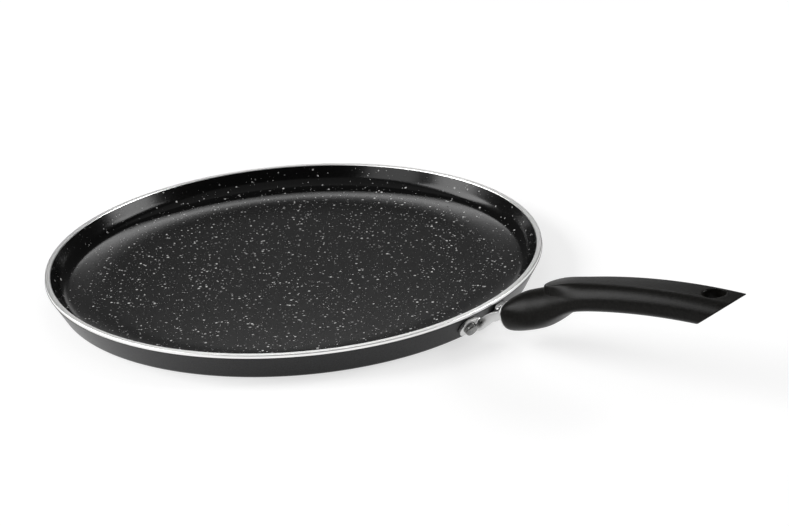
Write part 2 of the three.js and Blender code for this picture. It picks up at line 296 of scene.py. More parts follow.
nonstick = coat_finish(
    "nonstick_coat", dark=(0.0008, 0.0008, 0.0008), light=(0.0035, 0.0035, 0.0035),
    roughness=0.17, specular=0.2, scale=1100, depth=0.006 * mm,
)
fleck = fleck_finish(
    "mineral_fleck", dark=(0.03, 0.03, 0.031), light=(0.7, 0.7, 0.69), roughness=0.5, specular=0.3,
)
charcoal = coat_finish(
    "charcoal_coat", dark=(0.012, 0.012, 0.013), light=(0.03, 0.03, 0.032),
    roughness=0.3, specular=0.25, scale=1200, depth=0.01 * mm,
)
phenolic = coat_finish(
    "moulded_phenolic", dark=(0.003, 0.0028, 0.0024), light=(0.0095, 0.009, 0.008),
    roughness=0.34, specular=0.09, scale=900, depth=0.055 * mm,
)
print("coats and moulding:", [m.name for m in (nonstick, fleck, charcoal, phenolic)])

# %% [markdown]
# ## Turned pieces
# The dish, its outer coat and the rivets are all turned shapes: one outline, spun round an axis. Spin
# and the Screw modifier could do it, and so can a Geometry Nodes tree, which keeps the rule in view: a
# grid's columns become angles, and its rows are read off the outline by index. Corners of an outline
# are rounded first, with a support point close to each arc, so that flat faces stay flat in the light.

# %% Turning tree
touching = 0.001 * mm


def turning_tree():
    tree, given = shape_tree("turning", {"Columns": "Int", "Finish": "Material"})
    counts = add_node(tree, "GeometryNodeAttributeDomainSize", {0: given["Geometry"]})
    rows = counts.outputs["Point Count"]
    sheet_sizes = {"Size X": 1.0, "Size Y": 1.0, "Vertices X": given["Columns"], "Vertices Y": rows}
    grid = made_by(tree, "GeometryNodeMeshGrid", sheet_sizes)
    spot = made_by(tree, "GeometryNodeInputPosition")
    parts = add_node(tree, "ShaderNodeSeparateXYZ", {0: spot}).outputs
    angle = math_node(tree, "MULTIPLY", parts[0], 2 * math.pi)
    last = math_node(tree, "SUBTRACT", rows, 1.0)
    share = math_node(tree, "ADD", parts[1], 0.5)
    row = math_node(tree, "ROUND", math_node(tree, "MULTIPLY", share, last))
    reading = {"Geometry": given["Geometry"], "Value": spot, "Index": row}
    sampled = made_by(tree, "GeometryNodeSampleIndex", reading, data_type="FLOAT_VECTOR")
    outline = add_node(tree, "ShaderNodeSeparateXYZ", {0: sampled}).outputs
    x = math_node(tree, "MULTIPLY", outline[0], math_node(tree, "COSINE", angle))
    y = math_node(tree, "MULTIPLY", outline[0], math_node(tree, "SINE", angle))
    spun = made_by(tree, "ShaderNodeCombineXYZ", {0: x, 1: y, 2: outline[2]})
    shape = made_by(tree, "GeometryNodeSetPosition", {"Geometry": grid, "Position": spun})
    closed = made_by(tree, "GeometryNodeMergeByDistance", {"Geometry": shape, "Distance": touching})
    painted = {"Geometry": closed, "Material": given["Finish"]}
    shape_end(tree, made_by(tree, "GeometryNodeSetMaterial", painted))
    return tree


turning = turning_tree()
print("turning tree has", len(turning.nodes), "nodes")

# %% Outline helper


def rounded(corners, steps=6, support=0.25):
    points = []
    for k, (radius, height, rounding) in enumerate(corners):
        here = Vector((radius, height))
        if rounding == 0:
            points.append(here)
            continue
        before = (Vector(corners[k - 1][:2]) - here).normalized()
        after = (Vector(corners[(k + 1) % len(corners)][:2]) - here).normalized()
        half = before.angle(after) / 2
        reach = rounding / math.tan(half)
        start, end = here + before * reach, here + after * reach
        middle = here + (before + after).normalized() * (rounding / math.sin(half))
        points.append(start + before * rounding * support)
        sweep = (end - middle).angle_signed(start - middle)
        for step in range(steps + 1):
            spoke = start - middle
            spoke.rotate(Matrix.Rotation(sweep * step / steps, 2))
            points.append(middle + spoke)
        points.append(end + after * rounding * support)
    return points


# %% Turning helpers


def outward(mesh):
    volume = 0
    for face in mesh.polygons:
        first, *others = [mesh.vertices[k].co for k in face.vertices]
        volume += sum(first.dot(a.cross(b)) for a, b in zip(others, others[1:]))
    if volume < 0:
        mesh.flip_normals()
    return mesh


def turned(name, outline, finish, columns, place=Matrix.Identity(4)):
    start = bpy.data.meshes.new(name + "_outline")
    start.from_pydata([(p.x * mm, 0, p.y * mm) for p in outline], [], [])
    mesh = bake_shape(name, start, turning, {"Columns": columns, "Finish": finish})
    mesh.transform(place)
    outward(mesh)
    mesh.shade_smooth()
    return mesh


# %% [markdown]
# ## The pressed dish
# The dish is 280 mm across its rim and 16 mm high, pressed from 3.2 mm sheet. Its wall flares at 28
# degrees, and its rim is turned flat after pressing, which leaves a bare land down the outside as
# well. These are the CAD model's own sizes, with the sharp edges eased a little more finely. One thing
# is added: a bright line along the far edge of the floor in the photo shows that the floor swells up
# gently before its corner, by less than 2 mm over its last 22 mm. A lathe would turn it from one
# outline, so the turning tree does.

# %% Dish sizes
rim_radius, pan_height, sheet = 140, 16, 3.2
wall_lean = math.radians(28)
wall_rise = math.pi / 2 - wall_lean
base_corner, floor_corner = 3, 9.3
swell_radius, swell_tilt = 130.3, math.radians(9.5)
rim_land = 1.6


def wall_radius(height):
    return rim_radius - (pan_height - rim_land - height) * math.tan(wall_lean)


def inner_radius(height, offset):
    return wall_radius(height) - (sheet + offset) / math.cos(wall_lean)


def floor_line(offset):
    swell, corner = swell_radius - offset, floor_corner - offset
    swell_out, swell_up = swell * math.sin(swell_tilt), swell * (1 - math.cos(swell_tilt))
    corner_out = corner * (math.sin(wall_rise) - math.sin(swell_tilt))
    corner_up = corner * (math.cos(swell_tilt) - math.cos(wall_rise))
    top = sheet + offset + swell_up + corner_up
    return inner_radius(top, offset) - corner_out - swell_out, top


flat_reach, corner_height = floor_line(0)
print("floor is flat to", round(flat_reach, 1), "mm, and its corner ends", round(corner_height, 1), "mm up")

# %% Dish body
land_round, rim_round, lip_round = 0.3, 0.5, 0.25
dish_columns = 289


def swell_point(angle):
    out, up = swell_radius * math.sin(angle), swell_radius * (1 - math.cos(angle))
    return flat_reach + out, sheet + up, 0


def dish_outline():
    far, high, _ = swell_point(swell_tilt)
    tangent = floor_corner * math.tan((wall_rise - swell_tilt) / 2)
    corner = (far + tangent * math.cos(swell_tilt), high + tangent * math.sin(swell_tilt), floor_corner)
    return rounded([
        (0, 0, 0),
        (wall_radius(0), 0, base_corner),
        (rim_radius, pan_height - rim_land, land_round),
        (rim_radius, pan_height, rim_round),
        (inner_radius(pan_height, 0), pan_height, lip_round),
        corner,
        *[swell_point(swell_tilt * share) for share in (0.75, 0.5, 0.25, 0)],
        (0, sheet, 0),
    ])


dish_mesh = turned("pan_body_fine", dish_outline(), bare_aluminium, dish_columns)
add_piece("pan_body_fine", dish_mesh, "pan_body")

# %% [markdown]
# ## The outer coat
# A charcoal coat is sprayed on the outside wall, from just under the bare rim down round the base
# corner. It could be a second material on the dish, but the real coat is its own thin skin with an
# edge, so it is turned from a thin outline that follows the wall at a hair's distance.

# %% Outer coat
coat, coat_gap, coat_edge = 0.25, 0.05, 0.3
coat_start, coat_sharp = math.radians(64), math.radians(50)
support_share = 0.03


def outside_line(offset, high, steps=8):
    centre = wall_radius(base_corner) - base_corner / math.cos(wall_lean)
    reach = base_corner + offset
    angles = np.linspace(-coat_start, -wall_lean, steps + 1)
    arc = [Vector((centre + reach * math.cos(a), base_corner + reach * math.sin(a))) for a in angles]
    end = Vector((wall_radius(high) + offset / math.cos(wall_lean), high))
    return arc + [arc[-1].lerp(end, support_share), arc[-1].lerp(end, 1 - support_share), end]


def coat_outline():
    high = pan_height - rim_land - coat_edge
    outer = outside_line(coat_gap + coat, high)
    inner = outside_line(coat_gap, high)
    return outer + inner[::-1] + outer[:1]


enamel_mesh = turned("exterior_enamel_fine", coat_outline(), charcoal, dish_columns)
enamel_mesh.set_sharp_from_angle(angle=coat_sharp)
add_piece("exterior_enamel_fine", enamel_mesh, "exterior_enamel")

# %% [markdown]
# ## The speckled non-stick coat
# The inside coat follows one rule from the centre out: flat floor, a gentle swell, round corner and
# straight wall. A tree bends a grid by it, and gives it thickness. Pale mineral flecks lie in the coat
# at random, so the same tree scatters points on the coat, fewer on the wall, and sets a small flat
# fleck on each, with its own size, turn, outline and shade. Real flecks stay sharp as shapes, where a
# baked picture of them would blur.

# %% Rule of the coat
row_bias = 1.7


def dish_rule(tree, given):
    def do(operation, *values):
        return math_node(tree, operation, *values)

    spot = made_by(tree, "GeometryNodeInputPosition")
    parts = add_node(tree, "ShaderNodeSeparateXYZ", {0: spot}).outputs
    angle = do("MULTIPLY", parts[0], 2 * math.pi)
    share = do("SUBTRACT", 1.0, do("POWER", do("SUBTRACT", 0.5, parts[1]), row_bias))
    corner_start = do("MULTIPLY_ADD", given["Swell"], given["Tilt"], given["Floor"])
    corner_turn = do("SUBTRACT", given["Rise"], given["Tilt"])
    wall_start = do("MULTIPLY_ADD", given["Corner"], corner_turn, corner_start)
    run = do("MULTIPLY", share, do("ADD", wall_start, given["Wall"]))
    swell = do("DIVIDE", do("SUBTRACT", run, given["Floor"]), given["Swell"])
    swell = do("MINIMUM", do("MAXIMUM", swell, 0.0), given["Tilt"])
    bend = do("DIVIDE", do("SUBTRACT", run, corner_start), given["Corner"])
    bend = do("ADD", do("MINIMUM", do("MAXIMUM", bend, 0.0), corner_turn), given["Tilt"])
    climb = do("MAXIMUM", do("SUBTRACT", run, wall_start), 0.0)
    radius = do("MULTIPLY_ADD", given["Swell"], do("SINE", swell), do("MINIMUM", run, given["Floor"]))
    bent_out = do("SUBTRACT", do("SINE", bend), do("SINE", given["Tilt"]))
    radius = do("MULTIPLY_ADD", given["Corner"], bent_out, radius)
    radius = do("MULTIPLY_ADD", climb, do("COSINE", given["Rise"]), radius)
    swelled = do("SUBTRACT", 1.0, do("COSINE", swell))
    height = do("MULTIPLY_ADD", given["Swell"], swelled, given["Level"])
    bent_up = do("SUBTRACT", do("COSINE", given["Tilt"]), do("COSINE", bend))
    height = do("MULTIPLY_ADD", given["Corner"], bent_up, height)
    height = do("MULTIPLY_ADD", climb, do("SINE", given["Rise"]), height)
    x = do("MULTIPLY", radius, do("COSINE", angle))
    y = do("MULTIPLY", radius, do("SINE", angle))
    return made_by(tree, "ShaderNodeCombineXYZ", {0: x, 1: y, 2: height})


# %% Sowing flecks
thinning_rise, wall_share = 3 * mm, 0.35


def sow_points(tree, given, surface, spot):
    height = add_node(tree, "ShaderNodeSeparateXYZ", {0: spot}).outputs[2]
    thinning = {"Value": height, "From Min": given["Level"], "To Min": 1.0, "To Max": wall_share}
    thinning["From Max"] = math_node(tree, "ADD", given["Level"], thinning_rise)
    thin = made_by(tree, "ShaderNodeMapRange", thinning)
    density = math_node(tree, "MULTIPLY", given["Flecks"], thin)
    sowing = {"Mesh": surface, "Density": density, "Seed": given["Seed"]}
    sower = add_node(tree, "GeometryNodeDistributePointsOnFaces", sowing, distribute_method="RANDOM")
    return sower.outputs


# %% Fleck shapes
fleck_corners, fleck_bias, fleck_stretch = 9, 3.4, 0.5
size_seed, stretch_seed, turn_seed, shade_seed = 11, 12, 13, 14


def random_node(tree, low, high, seed):
    inputs = {2: low, 3: high, "Seed": seed}
    return add_node(tree, "FunctionNodeRandomValue", inputs, data_type="FLOAT").outputs[1]


def set_flecks(tree, given, sown):
    disc_sizes = {"Vertices": fleck_corners, "Radius": 1.0}
    disc = made_by(tree, "GeometryNodeMeshCircle", disc_sizes, fill_type="NGON")
    small = math_node(tree, "POWER", random_node(tree, 0.0, 1.0, size_seed), fleck_bias)
    sizing = {"Value": small, "To Min": given["Smallest"], "To Max": given["Largest"]}
    size = made_by(tree, "ShaderNodeMapRange", sizing)
    stretch = math_node(tree, "MULTIPLY", size, random_node(tree, fleck_stretch, 1.0, stretch_seed))
    scale = made_by(tree, "ShaderNodeCombineXYZ", {0: size, 1: stretch, 2: size})
    setting = {"Points": sown["Points"], "Instance": disc, "Rotation": sown["Rotation"], "Scale": scale}
    flecks = made_by(tree, "GeometryNodeInstanceOnPoints", setting)
    turn = random_node(tree, 0.0, 2 * math.pi, turn_seed)
    spin = {"Instances": flecks, "Rotation": made_by(tree, "ShaderNodeCombineXYZ", {2: turn})}
    flecks = made_by(tree, "GeometryNodeRotateInstances", spin)
    shade = {"Geometry": flecks, "Name": "fleck_shade", "Value": random_node(tree, 0.0, 1.0, shade_seed)}
    flecks = made_by(tree, "GeometryNodeStoreNamedAttribute", shade, domain="INSTANCE")
    return made_by(tree, "GeometryNodeRealizeInstances", {"Geometry": flecks})


# %% Ragged flecks
ragged_scale, ragged_detail, fleck_lift = 1600.0, 1.0, 0.015 * mm


def ragged_flecks(tree, given, flecks, spot):
    noise = {"Vector": spot, "Scale": ragged_scale, "Detail": ragged_detail}
    wobble = add_node(tree, "ShaderNodeTexNoise", noise).outputs[1]
    wobble = vector_node(tree, "SUBTRACT", wobble, (0.5, 0.5, 0.5))
    normal = made_by(tree, "GeometryNodeInputNormal")
    along = vector_node(tree, "SUBTRACT", wobble, vector_node(tree, "PROJECT", wobble, normal))
    push, raised = scaled(tree, along, given["Ragged"]), scaled(tree, normal, fleck_lift)
    moving = {"Geometry": flecks, "Offset": vector_node(tree, "ADD", push, raised)}
    flecks = made_by(tree, "GeometryNodeSetPosition", moving)
    painted = {"Geometry": flecks, "Material": given["Fleck Finish"]}
    return made_by(tree, "GeometryNodeSetMaterial", painted)


# %% Coat tree
coat_columns, coat_rows = 241, 61
coat_numbers = (
    "Floor", "Level", "Swell", "Tilt", "Corner", "Rise", "Wall", "Thickness",
    "Flecks", "Smallest", "Largest", "Ragged",
)


def joined(tree, *geometries):
    join = tree.nodes.new("GeometryNodeJoinGeometry")
    for geometry in geometries:
        tree.links.new(geometry, join.inputs[0])
    return join.outputs[0]


def coat_tree():
    kinds = dict.fromkeys(coat_numbers, "Float")
    kinds |= {"Seed": "Int", "Coat Finish": "Material", "Fleck Finish": "Material"}
    tree, given = shape_tree("speckled_coat", kinds)
    sheet_sizes = {"Size X": 1.0, "Size Y": 1.0, "Vertices X": coat_columns, "Vertices Y": coat_rows}
    grid = made_by(tree, "GeometryNodeMeshGrid", sheet_sizes)
    bending = {"Geometry": grid, "Position": dish_rule(tree, given)}
    bent = made_by(tree, "GeometryNodeSetPosition", bending)
    closed = made_by(tree, "GeometryNodeMergeByDistance", {"Geometry": bent, "Distance": touching})
    upper = made_by(tree, "GeometryNodeFlipFaces", {0: closed})
    walls = {"Mesh": closed, "Offset Scale": given["Thickness"], "Individual": False}
    lower = made_by(tree, "GeometryNodeExtrudeMesh", walls, mode="FACES")
    sealing = {"Geometry": joined(tree, upper, lower), "Distance": touching}
    sealed = made_by(tree, "GeometryNodeMergeByDistance", sealing)
    painted = {"Geometry": sealed, "Material": given["Coat Finish"]}
    skin = made_by(tree, "GeometryNodeSetMaterial", painted)
    spot = made_by(tree, "GeometryNodeInputPosition")
    flecks = set_flecks(tree, given, sow_points(tree, given, upper, spot))
    shape_end(tree, joined(tree, skin, ragged_flecks(tree, given, flecks, spot)))
    return tree


speckled = coat_tree()
print("coat tree has", len(speckled.nodes), "nodes")

# %% Coat piece
lift = coat_gap + coat
flat_end, corner_top = floor_line(lift)
wall_run = (pan_height - coat_edge - corner_top) / math.sin(wall_rise)
coat_sizes = {
    "Floor": flat_end * mm, "Level": (sheet + lift) * mm, "Swell": (swell_radius - lift) * mm,
    "Tilt": swell_tilt, "Corner": (floor_corner - lift) * mm, "Rise": wall_rise, "Wall": wall_run * mm,
    "Thickness": coat * mm, "Flecks": 120000.0, "Smallest": 0.12 * mm, "Largest": 0.76 * mm,
    "Ragged": 0.24 * mm, "Seed": 7, "Coat Finish": nonstick, "Fleck Finish": fleck,
}
coat_start_mesh = bpy.data.meshes.new("coat_start")
coat_mesh = bake_shape("nonstick_coating_fine", coat_start_mesh, speckled, coat_sizes)
coat_mesh.shade_smooth()
coat_mesh.set_sharp_from_angle(angle=coat_sharp)
add_piece("nonstick_coating_fine", coat_mesh, "nonstick_coating")
print("coat finishes:", [m.name for m in coat_mesh.materials])

# %% [markdown]
# ## The rivets
# Two rivets hold the bracket's feet to the wall, square to its lean. Each is turned from one outline:
# a flat head inside the pan, a shank, and a stout rounded head outside. The same outline serves both,
# set at its own place on the wall.

# %% Rivets
rivet_offset, rivet_height = 12.6, 8.6
rivet_head, rivet_head_height, rivet_head_round, rivet_shank = 3.7, 2.8, 1.1, 2.3
inner_head, inner_head_height, inner_head_round = 4, 1.2, 0.5
seat_gap, seat_round, rivet_seat_round, rivet_columns = 0.15, 0.1, 0.2, 65
foot_gap, strap = 0.3, 1.8
foot_in = coat + coat_gap + foot_gap
foot_out = foot_in + strap
edge_sharp = math.radians(40)


def wall_point(across, height, out):
    radius = wall_radius(height) + out * math.cos(wall_lean)
    turn = math.asin(across / wall_radius(height))
    rise = height - out * math.sin(wall_lean)
    return Vector((radius * math.cos(turn), radius * math.sin(turn), rise))


def set_along(point, direction):
    return Matrix.Translation(point * mm) @ direction.to_track_quat("Z", "Y").to_matrix().to_4x4()


inner_seat, outer_seat = -(sheet + coat_gap + coat) - seat_gap, foot_out + seat_gap
inner_end, outer_end = inner_seat - inner_head_height, outer_seat + rivet_head_height
rivet_outline = rounded([
    (0, inner_end, 0), (inner_head, inner_end, inner_head_round), (inner_head, inner_seat, seat_round),
    (rivet_shank, inner_seat, 0), (rivet_shank, outer_seat, 0), (rivet_head, outer_seat, rivet_seat_round),
    (rivet_head, outer_end, rivet_head_round), (0, outer_end, 0),
])
for side, rivet_name in ((-1, "rivet_right"), (1, "rivet_left")):
    seat = wall_point(side * rivet_offset, rivet_height, 0)
    place = set_along(seat, wall_point(side * rivet_offset, rivet_height, 1) - seat)
    rivet_mesh = turned(rivet_name + "_fine", rivet_outline, rivet_metal, rivet_columns, place)
    rivet_mesh.set_sharp_from_angle(angle=edge_sharp)
    add_piece(rivet_name + "_fine", rivet_mesh, rivet_name)

# %% [markdown]
# ## The moulded grip
# The grip is the piece that a hand knows: a deep belly behind a rounded end, an even waist, a raised
# thumb tongue on top, and a slanted tail with a hang hole. It could be sculpted, but its shape
# follows sections along a bent spine, so it is lofted from rounded sections, row by row. The sections
# are blunt ovals. Along the belly they are rounder and widest below the spine, which spreads the
# light over its flank as the photo shows. The tongue is a raise of the top, with a crisp rounded front
# and a soft shoulder along its sides. The tail ends where the sections meet a slanted plane, with its
# edge rolled over.

# %% Grip spine
grip_reach, grip_lift = 157.9, 17.45
end_tilt, end_run, end_depth = math.radians(9.4), 19.2, 3.0
neck_rise, neck_run = math.radians(23.1), 33
grip_rise, bend_radius, crown_radius = math.radians(13.5), 125, 415
grip_length, grip_half = 133.2, 12.9
belly_depth, belly_run, waist_depth, waist_run = 11.9, 21.2, 5.5, 51.5
brow_height, brow_run, crown_height, crown_run = 8.6, 8.8, 7.3, 57.3


def arc_from(x, z, angle, length, radius):
    end = angle - length / radius
    x = x + radius * (np.sin(angle) - np.sin(end))
    return x, z + radius * (np.cos(end) - np.cos(angle)), end


def spine_at(run):
    straight = np.minimum(run, neck_run)
    x = grip_reach + straight * math.cos(neck_rise)
    z = grip_lift + straight * math.sin(neck_rise)
    bend_run = bend_radius * (neck_rise - grip_rise)
    bend = arc_from(x, z, neck_rise, np.clip(run - neck_run, 0, bend_run), bend_radius)
    return arc_from(*bend, np.maximum(run - neck_run - bend_run, 0), crown_radius)


def smooth(value, low, high):
    t = np.clip((value - low) / (high - low), 0, 1)
    return t * t * (3 - 2 * t)


def beside_spine(run, across, up):
    x, z, angle = spine_at(run)
    tilt = end_tilt + (angle - end_tilt) * smooth(run, 0, belly_run)
    return np.stack([x - up * np.sin(tilt), across + 0 * x, z + up * np.cos(tilt)], -1)


print("spine ends at", [round(float(v), 1) for v in spine_at(np.array(grip_length))[:2]], "mm out and up")

# %% Grip sections
squareness, flank_squareness, belly_squareness, belly_drop = 2.5, 1.9, 2.1, 5.5
belly_full, belly_fade, belly_end = 20, 32, 62
tongue_start, tongue_front, tongue_tail, tongue_lift = 29, 7, 10.4, 2.1
tongue_fall, tongue_crisp, tongue_soft = 0.006, 1.6, 7.1
soft_start, soft_end = 34, 55


def grip_size(run):
    left = np.maximum(1 - run / end_run, 0)
    inset = end_depth * (1 - np.sqrt(1 - left * left))
    top = brow_height + (crown_height - brow_height) * smooth(run, brow_run, crown_run) - inset
    bottom = belly_depth + (waist_depth - belly_depth) * smooth(run, belly_run, waist_run) - inset
    return grip_half - inset, top, bottom


def tongue_raise(run, across, body_up, top):
    front = tongue_front - np.hypot(run - tongue_start - tongue_front, across)
    along = np.clip((run - tongue_start) / (grip_length - tongue_start), 0, 1)
    side = tongue_tail + (tongue_front - tongue_tail) * (1 - along) ** 2 - np.abs(across)
    inside = np.where(run < tongue_start + tongue_front, front, side)
    shoulder = tongue_crisp + tongue_soft * smooth(run, soft_start, soft_end)
    level = top + tongue_lift - tongue_fall * across**2
    return np.maximum(level - body_up, 0) * smooth(inside, -0.5 * shoulder, 0.5 * shoulder)


def blunt(value, power):
    return np.sign(value) * np.abs(value) ** power


def grip_surface(run, turn):
    half, top, bottom = grip_size(run)
    belly = smooth(run, 0, belly_full) * (1 - smooth(run, belly_fade, belly_end))
    rounder = np.where(np.sin(turn) > 0, flank_squareness, belly_squareness)
    power = 2 / (squareness + (rounder - squareness) * belly)
    across = half * blunt(np.cos(turn), power)
    rise = blunt(np.sin(turn), power)
    widest = -belly_drop * belly
    up = widest + np.where(rise > 0, top - widest, bottom + widest) * rise
    up = up + np.where(rise > 0, tongue_raise(run, across, up, top), 0)
    return beside_spine(run, across, up)


belly_size = [round(float(size), 1) for size in grip_size(np.array(belly_run))]
print("at its belly the grip reaches", belly_size, "mm to the side, up and down")

# %% Slanted tail
tail_slant = math.radians(51.4)
tail_search = np.linspace(100, 160, 1201)
grip_sides = 288
turns = np.linspace(0, 2 * math.pi, grip_sides, endpoint=False)


def tail_run():
    x, z, _ = spine_at(np.array(grip_length))
    facing = np.array([math.cos(tail_slant), 0, -math.sin(tail_slant)])
    beyond = (grip_surface(tail_search[:, None], turns[None]) - np.array([x, 0, z])) @ facing
    first = np.argmax(beyond > 0, axis=0)
    column = np.arange(grip_sides)
    low, high = beyond[first - 1, column], beyond[first, column]
    return tail_search[first - 1] + (tail_search[1] - tail_search[0]) * low / (low - high)


tail_ends = tail_run()
print("tail ends", round(tail_ends.min(), 1), "to", round(tail_ends.max(), 1), "mm along the spine")

# %% Grip rings
belly_stop, waist_stop, tail_edge = 60, 105, 0.9
end_rings, belly_rings, waist_rings, tail_rings, edge_rings = 26, 110, 60, 40, 7
tail_shares, face_shares = (0.15, 0.5, 0.8), (0.7, 0.3, 0.1)


def grip_rings():
    end = end_run * (1 - np.cos(np.linspace(0, math.pi / 2, end_rings)))
    front = np.linspace(end_run, belly_stop, belly_rings)[1:]
    middle = np.linspace(belly_stop, waist_stop, waist_rings)[1:]
    rings = [grip_surface(np.full(grip_sides, run), turns) for run in (*end, *front, *middle)]
    rolled = tail_ends - tail_edge
    for t in np.linspace(0, 1, tail_rings)[1:]:
        rings.append(grip_surface(waist_stop + (rolled - waist_stop) * t, turns))
    before, edge = rings[-1], grip_surface(tail_ends, turns)
    middle_point = edge.mean(0)
    inward = (middle_point - edge) / np.linalg.norm(middle_point - edge, axis=1, keepdims=True)
    inner = edge + inward * tail_edge
    for t in np.linspace(0, 1, edge_rings)[1:]:
        rings.append((1 - t) ** 2 * before + 2 * t * (1 - t) * edge + t * t * inner)
    for t in tail_shares:
        rings.append(inner + (middle_point - inner) * t)
    face = rings[0]
    starts = [face + (face.mean(0) - face) * t for t in face_shares]
    return starts + rings


# %% Grip skin


def skin_mesh(name, rings):
    count = len(rings[0])
    points = np.concatenate(rings) * mm
    faces = []
    for k in range(len(rings) - 1):
        for i in range(count):
            a, b = k * count + i, k * count + (i + 1) % count
            faces.append((a, b, b + count, a + count))
    last = (len(rings) - 1) * count
    faces.append(tuple(range(count - 1, -1, -1)))
    faces.append(tuple(range(last, last + count)))
    mesh = bpy.data.meshes.new(name)
    mesh.from_pydata(points.tolist(), [], faces)
    return outward(mesh)


grip_mesh = skin_mesh("grip_skin", grip_rings())
grip_mesh.materials.append(phenolic)
print("grip skin has", len(grip_mesh.polygons), "faces")

# %% [markdown]
# ## The grip's holes
# The hang hole goes through the tail and has a rounded lip on top, and a pocket in the pan end takes
# the brass insert. Holes could be built into the loft, but a tool that is turned and then subtracted
# with an exact Boolean is simpler, and a flare at the tool's top rounds the lip.

# %% Grip holes
hang_radius, hang_setback, hang_lip = 5.8, 1.8, 0.8
insert_radius, insert_length, hole_gap = 3.8, 16, 0.15
tool_below, tool_above, tool_before, tool_step = 40, 12, 3, 0.05
hang_columns, pocket_columns, flare_steps = 97, 49, 9


def cut_with(mesh, tool_mesh):
    blank = bpy.data.objects.new("blank", mesh)
    tool = bpy.data.objects.new("tool", tool_mesh)
    for thing in (blank, tool):
        bpy.context.scene.collection.objects.link(thing)
    cut = blank.modifiers.new("cut", "BOOLEAN")
    cut.object, cut.operation, cut.solver = tool, "DIFFERENCE", "EXACT"
    bpy.context.view_layer.update()
    made = bpy.data.meshes.new_from_object(blank.evaluated_get(bpy.context.evaluated_depsgraph_get()))
    for thing in (blank, tool):
        bpy.data.objects.remove(thing)
    return made


def hang_tool():
    run = np.array(grip_length - hang_setback)
    spot, over = Vector(beside_spine(run, 0, 0)), Vector(beside_spine(run, 0, 1))
    level = float(grip_size(run)[1]) + tongue_lift
    flare = [
        Vector((hang_radius + hang_lip * (1 - math.cos(a)), level - hang_lip + hang_lip * math.sin(a)))
        for a in np.linspace(0, math.pi / 2, flare_steps)
    ]
    flare[-1] += Vector((tool_step, tool_step))
    corners = [Vector((0, -tool_below)), Vector((hang_radius, -tool_below)), *flare]
    corners.append(Vector((hang_radius + hang_lip + tool_step, level + tool_above)))
    corners.append(Vector((0, level + tool_above)))
    return turned("hang_tool", corners, phenolic, hang_columns, set_along(spot, over - spot))


screw_line = Vector((math.cos(end_tilt), 0, math.sin(end_tilt)))
grip_end = Vector((grip_reach, 0, grip_lift))
pocket_radius, pocket_depth = insert_radius + hole_gap, insert_length + hole_gap
pocket = [
    Vector((0, -tool_before)), Vector((pocket_radius, -tool_before)),
    Vector((pocket_radius, pocket_depth)), Vector((0, pocket_depth)),
]
pocket_place = set_along(grip_end, screw_line)
pocket_tool = turned("pocket_tool", pocket, phenolic, pocket_columns, pocket_place)
grip_mesh = cut_with(cut_with(grip_mesh, hang_tool()), pocket_tool)
grip_mesh.shade_smooth()
grip_mesh.set_sharp_from_angle(angle=edge_sharp)
add_piece("handle_grip_fine", grip_mesh, "handle_grip")

# %% [markdown]
# ## The flame guard
# A thin steel plate between bracket and grip shields the grip's end from the flame, and shows as a
# bright line round it. It has the outline of the grip's end, a little larger, with a round edge, so
# the same sections are lofted through its thickness.

# %% Guard
guard, guard_overhang = 0.8, 0.4
guard_near = -0.15
guard_far = guard_near - guard


def stack_point(along, across, up):
    return Vector(beside_spine(np.array(0.0), across, up)) + screw_line * along


def guard_rings(steps=9, sides=128):
    half, top, bottom = grip_size(np.array(0.0))
    power = 2 / squareness
    rings = []
    for t in np.linspace(-math.pi / 2, math.pi / 2, steps):
        along = (guard_near + guard_far) / 2 + guard / 2 * math.sin(t)
        over = guard_overhang - guard / 2 * (1 - math.cos(t))
        ring = []
        for turn in np.linspace(0, 2 * math.pi, sides, endpoint=False):
            across, rise = blunt(math.cos(turn), power), blunt(math.sin(turn), power)
            reach = (top if rise > 0 else bottom) + over
            ring.append(stack_point(along, across * (half + over), rise * reach))
        rings.append(np.array(ring))
    return rings


guard_mesh = skin_mesh("guard_skin", guard_rings())
guard_mesh.materials.append(satin_steel)
guard_mesh.shade_smooth()
guard_mesh.set_sharp_from_angle(angle=edge_sharp)
add_piece("flame_guard_fine", guard_mesh, "flame_guard")

# %% [markdown]
# ## The bracket
# The bracket is one strip of steel: a foot on the wall, an arm, a flat bridge under the screw, and the
# same again on the far side. It could be cut from a plate and bent, but a list of stations along the
# strip, each with a low and a high edge, gives the bends and the changing width at once. The strip is
# lofted through them, and Bevel eases its edges.

# %% Bracket feet
foot_margin, foot_half, foot_tip = 6.2, 4.6, 1.2
foot_steps, foot_bias, head_play = 25, 1.6, 0.2
foot_middle = (foot_in + foot_out) / 2
foot_start = rivet_offset - rivet_head - head_play


def foot_stations(side):
    last = rivet_offset + foot_margin
    stations = []
    for share in 1 - (1 - np.linspace(0, 1, foot_steps)) ** foot_bias:
        across = foot_start + (last - foot_start) * share
        left = max(1 - (last - across) / foot_half, 0)
        half = max(foot_half * math.sqrt(1 - left * left), foot_tip)
        heights = (rivet_height - half, rivet_height + half)
        stations.append([wall_point(side * across, height, foot_middle) for height in heights])
    return stations


# %% Bracket bends
strap_bend, bend_steps = 1.4, 9
arm_offset, arm_drop = 6.6, 0.3
elbow_half, neck_half, bridge_half = 3.2, 1.7, 3.6
bridge_middle = guard_far - hole_gap - strap / 2


def wall_bend(side):
    stations = []
    for share in np.linspace(0, 1, bend_steps):
        turn = share * math.pi / 2
        across = foot_start - strap_bend * math.cos(turn)
        out = Vector((strap_bend * (1 - math.sin(turn)), 0, 0))
        top = elbow_half + (foot_half - elbow_half) * share
        heights = (rivet_height - foot_half, rivet_height + top)
        stations.append([wall_point(side * across, height, foot_middle) + out for height in heights])
    return stations


